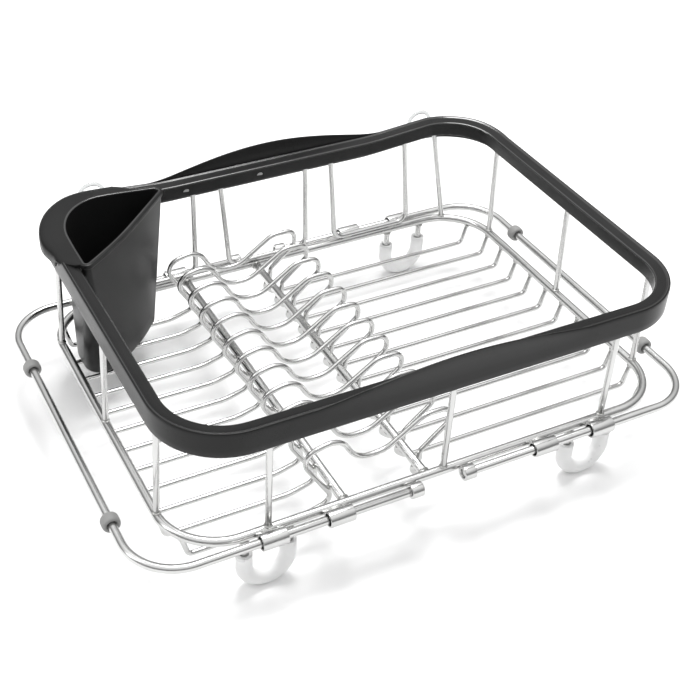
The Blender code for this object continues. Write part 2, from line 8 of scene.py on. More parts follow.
import bpy
import bmesh
from mathutils import Matrix, Vector


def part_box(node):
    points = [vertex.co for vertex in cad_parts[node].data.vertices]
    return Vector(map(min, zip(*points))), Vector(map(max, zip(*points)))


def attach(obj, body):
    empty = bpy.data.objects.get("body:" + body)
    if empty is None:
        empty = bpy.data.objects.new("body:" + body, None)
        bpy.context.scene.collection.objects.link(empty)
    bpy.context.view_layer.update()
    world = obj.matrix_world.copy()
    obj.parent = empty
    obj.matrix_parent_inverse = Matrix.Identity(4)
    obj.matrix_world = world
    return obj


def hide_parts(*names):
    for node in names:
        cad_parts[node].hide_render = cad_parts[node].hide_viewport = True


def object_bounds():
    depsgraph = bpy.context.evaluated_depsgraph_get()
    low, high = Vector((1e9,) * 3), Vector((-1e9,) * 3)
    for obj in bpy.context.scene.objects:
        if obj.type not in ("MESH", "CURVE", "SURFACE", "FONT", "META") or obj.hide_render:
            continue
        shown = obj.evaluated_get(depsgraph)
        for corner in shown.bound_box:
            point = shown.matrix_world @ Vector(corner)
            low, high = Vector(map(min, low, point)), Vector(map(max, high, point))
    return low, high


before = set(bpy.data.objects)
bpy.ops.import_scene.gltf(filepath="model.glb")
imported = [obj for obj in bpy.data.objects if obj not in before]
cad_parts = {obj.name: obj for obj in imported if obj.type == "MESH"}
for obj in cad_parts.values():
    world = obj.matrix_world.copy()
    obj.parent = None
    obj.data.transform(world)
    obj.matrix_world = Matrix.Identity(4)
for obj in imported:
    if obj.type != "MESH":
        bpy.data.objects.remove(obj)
cad_low, cad_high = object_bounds()

X, Y, Z = Vector((1, 0, 0)), Vector((0, 1, 0)), Vector((0, 0, 1))
SIDES = (("left", -1), ("right", 1))
ENDS = (("front", -1), ("back", 1))

# ---------------------------------------------------------------- sizes

RING_WIRE = 0.0030              # wire radii
UPPER_WIRE = 0.0025
POST_WIRE = 0.0020
RAIL_WIRE = 0.0030
PLATE_WIRE = 0.0017
ARM_WIRE = 0.00275
FOOT_WIRE = 0.0025
LOOP_WIRE = 0.0013
RING_CORNER = 0.038             # bends, on the centrelines
ARM_BEND = 0.033
BACK_U_BEND = 0.008
PLATE_DROP = 0.0182
PLATE_INSET = 0.0047
PLATE_BEND = 0.004
FINE = radians(7)               # arc step of the wires' bends

RIM_WIDTH = 0.0095
RIM_WALL = 0.0018
RIM_CORNER = 0.046
RIM_OUTER_DEPTH = 0.0171
RIM_INNER_DEPTH = 0.0114
RIM_BEAD = 0.0011
RIM_SLOPE = 0.0006
LIP_FLARE = 0.0028
LIP_HALF = 0.092
RIM_GLOSS_STRIPS = (*range(17, 21), *range(23, 26))   # the bead and inner edge, along the profile

WINDOW_X = (-0.066, -0.010)     # snap windows in the back inner wall, from the ring's middle
WINDOW_DEPTH = 0.0062           # their middle under the rim's top edge
# Outlines on the wall: to the right, how far the edge stands out of the wall, and up.
# The slot is a thin near-black sheet on the wall: painted shade inside the window opening.
SLOT_OUTLINE = ((-0.0030, 0.00005, -0.0010), (0.0022, 0.00005, -0.0010),
                (0.0022, 0.00005, -0.0046), (0.0030, 0.00005, -0.0046),
                (0.0030, 0.00005, 0.0012), (-0.0030, 0.00005, 0.0012))
# The hook is coloured light grey as a painted highlight.
HOOK_OUTLINE = ((-0.0027, 0.0001, -0.0007), (0.0014, 0.0009, -0.0007),
                (0.0019, 0.0009, 0.0003), (0.0012, 0.0007, 0.0010), (-0.0010, 0.0003, 0.0010))

CUP_FIT = 0.0011
CUP_WALL = 0.0020
CUP_FRONT_Y = 0.0455
CUP_TIP_X = -0.0794
CUP_BULGE = 0.0024
CUP_DRAFT = 0.0016
CORNER_LIFT = 0.0040            # looks only: the CAD rim is level at its back corners
CUP_LIFT_FROM = 0.060           # the cup follows them from this height upwards


# The studio: sky tone by the sine of its elevation, and light powers in watts.
SKY = ((0.0, 0.14), (0.30, 0.24), (0.55, 0.60), (0.80, 1.0), (1.0, 1.0))
SKY_STRENGTH = 1.25
KEY_POWER = 16
SIDE_POWER = 4


# ---------------------------------------------------------------- places from the frame

def low(node):
    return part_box(node)[0]


def high(node):
    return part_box(node)[1]


def middle(node):
    lowest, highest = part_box(node)
    return (lowest + highest) / 2


CENTRE_X = middle("lower_ring").x
RING_Z = middle("lower_ring").z
RING_HALF_X = high("lower_ring").x - CENTRE_X - RING_WIRE
RING_HALF_Y = high("lower_ring").y - RING_WIRE
UPPER_Z = middle("upper_ring").z
UPPER_HALF_X = high("upper_ring").x - CENTRE_X - UPPER_WIRE
UPPER_HALF_Y = high("upper_ring").y - UPPER_WIRE
RIM_HALF_X = high("rim").x - CENTRE_X
RIM_HALF_Y = UPPER_HALF_Y + RIM_WIDTH / 2
RIM_Z = UPPER_Z + 0.0065
LIP_RISE = high("rim").z - RIM_Z
LEFT_RAIL = middle("left_rail").x
RIGHT_RAIL = middle("right_rail").x


# ---------------------------------------------------------------- materials

def new_material(name, colour, roughness, metallic=0.0):
    """A Principled material; returns it with its node tree, shader and object coordinates."""
    material = bpy.data.materials.new(name)
    material.use_nodes = True
    tree = material.node_tree
    shader = tree.nodes["Principled BSDF"]
    shader.inputs["Base Color"].default_value = (*colour, 1.0)
    shader.inputs["Roughness"].default_value = roughness
    shader.inputs["Metallic"].default_value = metallic
    coordinates = tree.nodes.new("ShaderNodeTexCoord")
    return material, tree, shader, coordinates


def noise_node(tree, vector, scale, detail=4.0, roughness=0.55):
    node = tree.nodes.new("ShaderNodeTexNoise")
    node.inputs["Scale"].default_value = scale
    node.inputs["Detail"].default_value = detail
    node.inputs["Roughness"].default_value = roughness
    tree.links.new(vector, node.inputs["Vector"])
    return node.outputs["Fac"]


def spread(tree, value, low_value, high_value, start=0.3, end=0.7):
    """Map a noise value onto a range."""
    node = tree.nodes.new("ShaderNodeMapRange")
    node.inputs["From Min"].default_value = start
    node.inputs["From Max"].default_value = end
    node.inputs["To Min"].default_value = low_value
    node.inputs["To Max"].default_value = high_value
    tree.links.new(value, node.inputs["Value"])
    return node.outputs["Result"]


def tint(tree, shader, value, dark, light):
    """Colour the shader between two close tones."""
    ramp = tree.nodes.new("ShaderNodeValToRGB")
    ramp.color_ramp.elements[0].position = 0.3
    ramp.color_ramp.elements[1].position = 0.7
    ramp.color_ramp.elements[0].color = (*dark, 1.0)
    ramp.color_ramp.elements[1].color = (*light, 1.0)
    tree.links.new(value, ramp.inputs["Fac"])
    tree.links.new(ramp.outputs["Color"], shader.inputs["Base Color"])


def bump(tree, shader, height, strength, distance):
    node = tree.nodes.new("ShaderNodeBump")
    node.inputs["Strength"].default_value = strength
    node.inputs["Distance"].default_value = distance
    tree.links.new(height, node.inputs["Height"])
    tree.links.new(node.outputs["Normal"], shader.inputs["Normal"])


def stretched(tree, coordinates, factors, output="UV"):
    """Coordinates scaled unevenly, for drawing lines along a wire."""
    node = tree.nodes.new("ShaderNodeMapping")
    node.inputs["Scale"].default_value = factors
    tree.links.new(coordinates.outputs[output], node.inputs["Vector"])
    return node.outputs["Vector"]


def steel_material():
    """Satin nickel-plated wire: drawing lines along it and soft cloudy roughness."""
    tone = (0.58, 0.58, 0.575)
    material, tree, shader, coordinates = new_material("satin_steel", tone, 0.24, 1.0)
    lines = noise_node(tree, stretched(tree, coordinates, (26.0, 0.7, 1.0)), 4.0, 3.0)
    clouds = noise_node(tree, coordinates.outputs["Object"], 60.0, 2.0)
    tint(tree, shader, clouds, (0.56, 0.56, 0.555), (0.61, 0.61, 0.605))
    mixed = tree.nodes.new("ShaderNodeMath")
    mixed.operation = "ADD"
    tree.links.new(spread(tree, lines, -0.015, 0.02), mixed.inputs[0])
    tree.links.new(spread(tree, clouds, 0.20, 0.25), mixed.inputs[1])
    tree.links.new(mixed.outputs[0], shader.inputs["Roughness"])
    bump(tree, shader, lines, 0.05, 0.00001)
    return material


def weld_material():
    """Plated weld metal: duller and a little lumpy."""
    material, tree, shader, coordinates = new_material("weld_steel", (0.50, 0.50, 0.49), 0.30, 1.0)
    lumps = noise_node(tree, coordinates.outputs["Object"], 700.0, 2.0)
    tint(tree, shader, lumps, (0.44, 0.44, 0.43), (0.54, 0.54, 0.53))
    tree.links.new(spread(tree, lumps, 0.24, 0.34), shader.inputs["Roughness"])
    bump(tree, shader, lumps, 0.2, 0.0001)
    return material


def moulding_material(name, dark, light, roughness, grain=2600.0, depth=0.00004, shine=0.2):
    """Satin moulded plastic: fine eroded grain, faint flow marks in tone and gloss."""
    material, tree, shader, coordinates = new_material(name, light, roughness)
    shader.inputs["Specular IOR Level"].default_value = shine
    flow = noise_node(tree, coordinates.outputs["Object"], 28.0, 3.0)
    grains = noise_node(tree, coordinates.outputs["Object"], grain, 2.0, 0.6)
    tint(tree, shader, flow, dark, light)
    mixed = tree.nodes.new("ShaderNodeMath")
    mixed.operation = "ADD"
    tree.links.new(spread(tree, grains, -0.03, 0.03), mixed.inputs[0])
    tree.links.new(spread(tree, flow, roughness - 0.03, roughness + 0.04), mixed.inputs[1])
    tree.links.new(mixed.outputs[0], shader.inputs["Roughness"])
    bump(tree, shader, grains, 0.22, depth)
    return material


def milky_material():
    """Translucent soft tube, milky with faint clouds."""
    material, tree, shader, coordinates = new_material("milky_tube", (0.96, 0.96, 0.955), 0.3)
    clouds = noise_node(tree, coordinates.outputs["Object"], 90.0, 2.0)
    tint(tree, shader, clouds, (0.94, 0.945, 0.94), (0.985, 0.985, 0.98))
    tree.links.new(spread(tree, clouds, 0.26, 0.36), shader.inputs["Roughness"])
    shader.inputs["Transmission Weight"].default_value = 0.15
    shader.inputs["IOR"].default_value = 1.35
    shader.inputs["Subsurface Weight"].default_value = 0.5
    shader.inputs["Subsurface Radius"].default_value = (0.006, 0.006, 0.006)
    bump(tree, shader, clouds, 0.03, 0.00004)
    return material


def clear_material():
    """Clear moulding with a slight haze."""
    material, tree, shader, coordinates = new_material("clear_moulding", (0.55, 0.56, 0.56), 0.08)
    haze = noise_node(tree, coordinates.outputs["Object"], 500.0, 3.0)
    tree.links.new(spread(tree, haze, 0.04, 0.12), shader.inputs["Roughness"])
    shader.inputs["Transmission Weight"].default_value = 1.0
    shader.inputs["IOR"].default_value = 1.45
    bump(tree, shader, haze, 0.06, 0.00005)
    return material


STEEL = steel_material()
WELD = weld_material()
RIM = moulding_material("rim_moulding", (0.009, 0.009, 0.009), (0.012, 0.012, 0.012), 0.30)
CUP = moulding_material("cup_moulding", (0.010, 0.010, 0.010), (0.014, 0.014, 0.014), 0.31,
                        shine=0.16)
EDGE = moulding_material("moulded_edge", (0.010, 0.010, 0.010), (0.014, 0.014, 0.014), 0.13,
                         depth=0.00001, shine=0.9)
RUBBER = moulding_material("bumper_rubber", (0.24, 0.24, 0.237), (0.30, 0.30, 0.295), 0.5,
                           grain=1800.0, depth=0.00004)
# Near-black sheet for the snap windows: painted shade inside the openings.
PAINTED_SHADE = moulding_material("window_painted_shade", (0.004, 0.004, 0.004), (0.006, 0.006, 0.006), 0.6)
# Light grey on the black rim plastic: painted highlight on the snap hooks.
HOOK_PAINTED_HIGHLIGHT = moulding_material("hook_painted_highlight", (0.30, 0.30, 0.30), (0.42, 0.42, 0.42), 0.3)
MILKY = milky_material()
CLEAR = clear_material()


def corner_lift(point):
    """Small upward set of the rim's two back corners at a point."""
    side = smooth(ramp(abs(point.x - CENTRE_X), RIM_HALF_X * 0.42, RIM_HALF_X * 0.78))
    back = smooth(ramp(point.y, RIM_HALF_Y * 0.52, RIM_HALF_Y * 0.90))
    return CORNER_LIFT * side * back


def ramp(value, start, end):
    return min(1.0, max(0.0, (value - start) / (end - start)))


def smooth(share):
    return share * share * (3 - 2 * share)


# ---------------------------------------------------------------- mesh helpers

def make_piece(name, mesh, material, body, slot, *nodes, sharp=40):
    """Finish a mesh as a smooth-shaded piece that rides on a body and stands for CAD nodes."""
    mesh.materials.append(material)
    mesh.shade_smooth()
    mesh.set_sharp_from_angle(angle=radians(sharp))
    piece = bpy.data.objects.new(name, mesh)
    bpy.context.scene.collection.objects.link(piece)
    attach(piece, body)
    if nodes:
        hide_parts(*nodes)
    return piece


def fillet(corners, step=FINE):
    """Points of an open path; each corner is (point, bend radius) and each bend an arc."""
    points = [corners[0][0]]
    for (before, _), (corner, radius), (after, _) in zip(corners, corners[1:], corners[2:]):
        to_before = (before - corner).normalized()
        to_after = (after - corner).normalized()
        turn = pi - to_before.angle(to_after)
        reach = radius * tan(turn / 2)
        bisector = (to_before + to_after).normalized()
        centre = corner + bisector * sqrt(radius ** 2 + reach ** 2)
        start = corner + to_before * reach - centre
        side = corner + to_after * reach - centre
        count = max(2, ceil(turn / step))
        for index in range(count + 1):
            angle = turn * index / count
            share = sin(angle) / sin(turn)
            points.append(centre + start * (cos(angle) - share * cos(turn)) + side * share)
    points.append(corners[-1][0])
    return points


def rounded_loop(half_x, half_y, radius, height, arc_steps=26):
    """Closed rounded rectangle of points, anticlockwise."""
    points = []
    for quarter in range(4):
        sign_x = (1, -1, -1, 1)[quarter]
        sign_y = (1, 1, -1, -1)[quarter]
        centre = Vector((CENTRE_X + sign_x * (half_x - radius), sign_y * (half_y - radius), height))
        for index in range(arc_steps + 1):
            angle = (quarter + index / arc_steps) * pi / 2
            points.append(centre + Vector((cos(angle), sin(angle), 0)) * radius)
    return points


def path_frames(points, closed):
    """Tangent and two cross directions at each point, carried along without twist."""
    count = len(points)
    tangents = []
    for index, point in enumerate(points):
        before = points[index - 1] if closed or index else point
        after = points[(index + 1) % count] if closed or index < count - 1 else point
        if closed or 0 < index < count - 1:
            tangent = (point - before).normalized() + (after - point).normalized()
        else:
            tangent = after - before
        tangents.append(tangent.normalized())
    first = tangents[0]
    guide = Z if abs(first.z) < 0.8 else X
    across = first.cross(guide).normalized()
    frames = []
    for tangent in tangents:
        across = (across - tangent * across.dot(tangent)).normalized()
        frames.append((tangent, across, tangent.cross(across)))
    return frames


def tube_mesh(name, points, radius, sides=20, closed=False, dome=0.45, inner=None):
    """A round wire or, with an inner radius, an open tube along a path.

    Wire ends are domed by a share of the radius; UV runs round and along the wire.
    """
    shape = bmesh.new()
    uv = shape.loops.layers.uv.new("along")
    frames = path_frames(points, closed)
    lengths = [0.0]
    for one, two in zip(points, points[1:]):
        lengths.append(lengths[-1] + (two - one).length)

    def ring_at(point, frame_here, ring_radius):
        _, across, up = frame_here
        return [shape.verts.new(point + (across * cos(a) + up * sin(a)) * ring_radius)
                for a in (2 * pi * side / sides for side in range(sides))]

    stations = [(point, here, radius, length)
                for point, here, length in zip(points, frames, lengths)]
    if not closed and inner is None:
        steps = 4
        starts, ends = [], []
        for index in range(steps):
            angle = pi / 2 * (index + 0.35) / (steps + 0.35)
            size = radius * sin(angle)
            push = radius * dome * cos(angle)
            starts.append((points[0] - frames[0][0] * push, frames[0], size, -push))
            ends.append((points[-1] + frames[-1][0] * push, frames[-1], size, lengths[-1] + push))
        stations = starts + stations + ends[::-1]
    if inner is not None:
        lip = (radius - inner) / 2
        middle_radius = radius - lip
        start_rings, end_rings = [], []
        for index in range(1, 6):
            angle = pi * index / 6
            size = middle_radius + lip * cos(angle)
            push = lip * 0.7 * sin(angle)
            start_rings.append((points[0] - frames[0][0] * push, frames[0], size, -push))
            end_rings.append((points[-1] + frames[-1][0] * push, frames[-1], size, lengths[-1]))
        inside = [(point, here, inner, length)
                  for point, here, length in zip(points, frames, lengths)]
        stations = stations + end_rings + inside[::-1] + start_rings
    rings = [ring_at(*station[:3]) for station in stations]
    pairs = list(zip(range(len(rings)), range(1, len(rings))))
    if closed or inner is not None:
        pairs.append((len(rings) - 1, 0))
    for one, two in pairs:
        for side in range(sides):
            after = (side + 1) % sides
            face = shape.faces.new((rings[one][side], rings[one][after],
                                    rings[two][after], rings[two][side]))
            spans = ((side, one), (side + 1, one), (side + 1, two), (side, two))
            for loop, (turn, index) in zip(face.loops, spans):
                loop[uv].uv = (turn / sides, stations[index][3] * 100)
    if not closed and inner is None:
        shape.faces.new(rings[0][::-1])
        shape.faces.new(rings[-1])
    bmesh.ops.recalc_face_normals(shape, faces=shape.faces)
    mesh = bpy.data.meshes.new(name)
    shape.to_mesh(mesh)
    shape.free()
    return mesh


def turned_mesh(name, profile, centre, axis, sides=40):
    """A ring turned round an axis through centre; profile is a closed loop (radius, height)."""
    shape = bmesh.new()
    across = Z
    other = axis.cross(across)
    rings = []
    for side in range(sides):
        angle = 2 * pi * side / sides
        out = across * cos(angle) + other * sin(angle)
        rings.append([shape.verts.new(centre + out * radius + axis * height)
                      for radius, height in profile])
    for side in range(sides):
        one, two = rings[side], rings[(side + 1) % sides]
        for index in range(len(profile)):
            after = (index + 1) % len(profile)
            shape.faces.new((one[index], one[after], two[after], two[index]))
    bmesh.ops.recalc_face_normals(shape, faces=shape.faces)
    mesh = bpy.data.meshes.new(name)
    shape.to_mesh(mesh)
    shape.free()
    return mesh


def loft_mesh(name, sections, closed):
    """Skin between closed sections; without closed the ends are capped."""
    shape = bmesh.new()
    rings = [[shape.verts.new(point) for point in section] for section in sections]
    pairs = list(zip(rings, rings[1:]))
    if closed:
        pairs.append((rings[-1], rings[0]))
    for ring, following in pairs:
        for index in range(len(ring)):
            after = (index + 1) % len(ring)
            shape.faces.new((ring[index], ring[after], following[after], following[index]))
    if not closed:
        shape.faces.new(rings[0][::-1])
        shape.faces.new(rings[-1])
    bmesh.ops.recalc_face_normals(shape, faces=shape.faces)
    mesh = bpy.data.meshes.new(name)
    shape.to_mesh(mesh)
    shape.free()
    return mesh


# ---------------------------------------------------------------- wires

def wire(node, points, radius, closed=False, body="rack", sides=20):
    """A smooth wire in place of a CAD wire."""
    mesh = tube_mesh(f"{node}_smooth", points, radius, sides, closed)
    return make_piece(f"{node}_smooth", mesh, STEEL, body, "steel_wire", node)


def build_rings():
    lower = rounded_loop(RING_HALF_X, RING_HALF_Y, RING_CORNER, RING_Z)
    wire("lower_ring", lower, RING_WIRE, closed=True, sides=28)
    corner = RIM_CORNER - RIM_WIDTH / 2
    upper = rounded_loop(UPPER_HALF_X, UPPER_HALF_Y, corner, UPPER_Z)
    wire("upper_ring", upper, UPPER_WIRE, closed=True)


def leaning_ends(node, sign_x, sign_y):
    """Bottom and top of an upright; signs tell which corner of its box the foot stands in."""
    lowest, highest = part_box(node)
    inset = Vector((POST_WIRE, POST_WIRE, 0))
    lowest, highest = lowest + inset, highest - inset
    xs = (highest.x, lowest.x) if sign_x > 0 else (lowest.x, highest.x)
    ys = (highest.y, lowest.y) if sign_y > 0 else (lowest.y, highest.y)
    weld = POST_WIRE * 0.2
    return (Vector((xs[0], ys[0], lowest.z - weld)), Vector((xs[1], ys[1], highest.z + weld)))


def build_posts():
    feet = []
    for side, sign in SIDES:
        for place in ("front", "middle", "back"):
            node = f"{side}_upright_{place}"
            ends = leaning_ends(node, sign, -1 if place == "front" else 1)
            wire(node, ends, POST_WIRE)
            feet.append(ends[0])
        node = f"{side}_back_corner_wire"
        ends = leaning_ends(node, sign, -1)
        wire(node, ends, POST_WIRE)
        feet.append(ends[0])
    for place in ("left", "middle", "right"):
        node = f"front_upright_{place}"
        ends = leaning_ends(node, 1, 1)
        wire(node, ends, POST_WIRE)
        feet.append(ends[0])
    return feet


def build_back_wires():
    """U wires; each leans a little, so its feet and tops are read from slices of the node."""
    runs = []
    for place in ("left", "middle", "right"):
        node = f"back_u_wire_{place}"
        lowest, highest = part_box(node)
        points = [vertex.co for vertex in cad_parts[node].data.vertices]
        tops = sorted(point.x for point in points if point.z > highest.z - 0.001)
        run_z = lowest.z + POST_WIRE
        lower = [point for point in points if point.z < lowest.z + POST_WIRE * 3 + BACK_U_BEND]
        run_y = (min(p.y for p in lower) + POST_WIRE)
        left = min(point.x for point in lower) + POST_WIRE
        right = max(point.x for point in lower) - POST_WIRE
        top_y = highest.y - POST_WIRE
        top_z = highest.z + POST_WIRE * 0.2
        corners = [
            (Vector((tops[0] + POST_WIRE, top_y, top_z)), 0),
            (Vector((left, run_y, run_z)), BACK_U_BEND),
            (Vector((right, run_y, run_z)), BACK_U_BEND),
            (Vector((tops[-1] - POST_WIRE, top_y, top_z)), 0),
        ]
        wire(node, fillet(corners), POST_WIRE)
        runs.append((left + BACK_U_BEND, right - BACK_U_BEND, run_y, run_z))
    return runs


def build_rails():
    ends = []
    for side, _ in SIDES:
        node = f"{side}_rail"
        lowest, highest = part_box(node)
        x, z = middle(node).x, middle(node).z
        points = (Vector((x, lowest.y, z)), Vector((x, highest.y, z)))
        wire(node, points, RAIL_WIRE)
        ends += points
    return ends


def plate_form():
    """The shaped part of every plate wire, tied to the two rails."""
    return (
        (LEFT_RAIL - 0.0189, -PLATE_DROP, 0.035),
        (LEFT_RAIL + 0.0019, -0.0125, 0.0065),
        (LEFT_RAIL - 0.0240, 0.0297, 0.009),
        (LEFT_RAIL + 0.0035, 0.0355, 0.013),
        (LEFT_RAIL + 0.0156, 0.0146, 0.017),
        (RIGHT_RAIL - 0.0202, 0.0146, 0.020),
        (RIGHT_RAIL + 0.0059, 0.0330, 0.014),
        (RIGHT_RAIL + 0.0242, 0.0330, 0.007),
        (RIGHT_RAIL + 0.0242, 0.0209, 0.006),
        (RIGHT_RAIL + 0.0053, 0.0041, 0.004),
        (RIGHT_RAIL + 0.0053, -0.0032, 0.005),
        (RIGHT_RAIL - 0.0004, -0.0102, 0.004),
        (RIGHT_RAIL + 0.0084, -PLATE_DROP, 0.012),
    )


def ring_x_at(y):
    """Half width of the lower ring's centreline at a given y."""
    over = abs(y) - (RING_HALF_Y - RING_CORNER)
    if over <= 0:
        return RING_HALF_X
    return RING_HALF_X - RING_CORNER + sqrt(RING_CORNER ** 2 - over ** 2)


def build_plate_wires():
    tips = []
    for index in range(12):
        node = f"plate_wire_{index + 1:02d}"
        y = middle(node).y
        half = ring_x_at(y)
        ends = []
        for sign in (-1, 1):
            bend = Vector((CENTRE_X + sign * (half - PLATE_INSET), y, RING_Z - PLATE_DROP))
            ring = Vector((CENTRE_X + sign * half, y, RING_Z))
            ends.append((ring + (bend - ring).normalized() * (RING_WIRE + 0.0001), bend))
        corners = [(ends[0][0], 0), (ends[0][1], PLATE_BEND)]
        corners += [(Vector((x, y, RING_Z + z)), radius) for x, z, radius in plate_form()]
        corners += [(ends[1][1], PLATE_BEND), (ends[1][0], 0)]
        wire(node, fillet(corners), PLATE_WIRE, sides=16)
        tips += [(ends[0][0], ends[0][1]), (ends[1][0], ends[1][1])]
    return tips


def foot_arc(place, bend, height):
    """Half circle of a foot, open upwards."""
    steps = 28
    return [Vector((place.x - bend * cos(a), place.y, height - bend * sin(a)))
            for a in (pi * index / steps for index in range(steps + 1))]


def build_feet():
    """Foot wires and their milky covers, which are pressed flat where they stand."""
    for end, _ in ENDS:
        for side, _ in SIDES:
            node = f"{side}_{end}_foot"
            lowest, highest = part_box(node)
            place = middle(node)
            bend = (highest.x - lowest.x) / 2 - FOOT_WIRE
            arc_z = lowest.z + FOOT_WIRE + bend
            arc = foot_arc(place, bend, arc_z)
            legs = [Vector((place.x - bend, place.y, highest.z)),
                    Vector((place.x + bend, place.y, highest.z))]
            wire(node, [legs[0], *arc, legs[1]], FOOT_WIRE)
            cover = f"{node}_cover"
            outer = (high(cover).y - low(cover).y) / 2
            mouth = high(cover).z - 0.001
            tops = [Vector((leg.x, leg.y, mouth)) for leg in legs]
            mesh = tube_mesh(f"{cover}_soft", [tops[0], *arc, tops[1]], outer, 28,
                             inner=FOOT_WIRE + 0.0004)
            for vertex in mesh.vertices:
                vertex.co.z = max(vertex.co.z, cad_low.z + 0.00002)
            make_piece(f"{cover}_soft", mesh, MILKY, "rack", "cover_plastic", cover)


def build_loops():
    for side, _ in SIDES:
        node = f"{side}_clear_loop"
        lowest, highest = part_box(node)
        wall = lowest.y
        back = highest.y - LOOP_WIRE
        left, right = lowest.x + LOOP_WIRE, highest.x - LOOP_WIRE
        bottom, top = lowest.z + LOOP_WIRE, highest.z - LOOP_WIRE
        corners = [
            (Vector((left, wall, bottom)), 0),
            (Vector((left, back, bottom)), 0.003),
            (Vector((left, back, top)), 0.0084),
            (Vector((right, back, top)), 0.0084),
            (Vector((right, back, bottom)), 0.003),
            (Vector((right, wall, bottom)), 0),
        ]
        mesh = tube_mesh(f"{node}_smooth", fillet(corners), LOOP_WIRE, 18)
        make_piece(f"{node}_smooth", mesh, CLEAR, "rack", "loop_plastic", node)


# ---------------------------------------------------------------- turned pieces

def rolled_profile(outer, bore, half, edge):
    """Section of a short tube with rounded edges outside and inside."""
    profile = []
    corners = ((outer, half), (outer, -half), (bore, -half), (bore, half))
    for index, (radius, height) in enumerate(corners):
        across = -edge if index < 2 else edge
        along = -edge if height > 0 else edge
        centre = (radius + across, height + along)
        first = pi / 2 - index * pi / 2
        for step in range(5):
            angle = first - step * pi / 8
            profile.append((centre[0] + edge * cos(angle), centre[1] + edge * sin(angle)))
    return profile


def build_sleeves():
    seats = []
    for end, sign_y in ENDS:
        for side, _ in SIDES:
            for place in ("inner", "outer"):
                node = f"{side}_{end}_sleeve_{place}"
                lowest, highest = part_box(node)
                centre = (lowest + highest) / 2
                outer = (highest.z - lowest.z) / 2
                half = (highest.x - lowest.x) / 2
                mesh = turned_mesh(f"{node}_smooth", rolled_profile(outer, outer - 0.0013, half,
                                                                    0.0004), centre, X)
                make_piece(f"{node}_smooth", mesh, STEEL, "rack", "steel_wire", node)
                seats.append((centre, half, sign_y))
    return seats


def bumper_profile(outer, bore, half):
    """A soft barrel with rounded shoulders and countersunk mouths."""
    shoulder = (
        (bore, half - 0.0018), (bore + 0.0003, half - 0.0008), (bore + 0.0008, half - 0.0001),
        (bore + 0.0012, half), (outer - 0.0011, half), (outer - 0.0005, half - 0.0003),
        (outer - 0.00015, half - 0.0010), (outer, half - 0.0019), (outer, half * 0.15),
    )
    return shoulder + tuple((radius, -height) for radius, height in shoulder[::-1])


def build_arms():
    for side, sign in SIDES:
        body = f"{side}_arm"
        node = f"{side}_arm"
        lowest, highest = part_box(node)
        y = highest.y - ARM_WIRE
        run_x = (highest.x - ARM_WIRE) if sign > 0 else (lowest.x + ARM_WIRE)
        end_x = lowest.x if sign > 0 else highest.x
        corners = [
            (Vector((end_x, -y, RING_Z)), 0),
            (Vector((run_x, -y, RING_Z)), ARM_BEND),
            (Vector((run_x, y, RING_Z)), ARM_BEND),
            (Vector((end_x, y, RING_Z)), 0),
        ]
        wire(node, fillet(corners, radians(4)), ARM_WIRE, body=body, sides=28)
        for end, _ in ENDS:
            collar = f"{side}_{end}_stop_collar"
            outer = (high(collar).z - low(collar).z) / 2
            half = (high(collar).x - low(collar).x) / 2
            mesh = turned_mesh(f"{collar}_smooth",
                               rolled_profile(outer, ARM_WIRE + 0.0001, half, 0.0005),
                               middle(collar), X)
            make_piece(f"{collar}_smooth", mesh, STEEL, body, "steel_wire", collar)
            bumper = f"{side}_{end}_bumper"
            outer = (high(bumper).z - low(bumper).z) / 2
            half = (high(bumper).y - low(bumper).y) / 2
            mesh = turned_mesh(f"{bumper}_soft", bumper_profile(outer, ARM_WIRE + 0.0001, half),
                               middle(bumper), Y, 48)
            make_piece(f"{bumper}_soft", mesh, RUBBER, body, "bumper_rubber", bumper, sharp=60)


# ---------------------------------------------------------------- rim

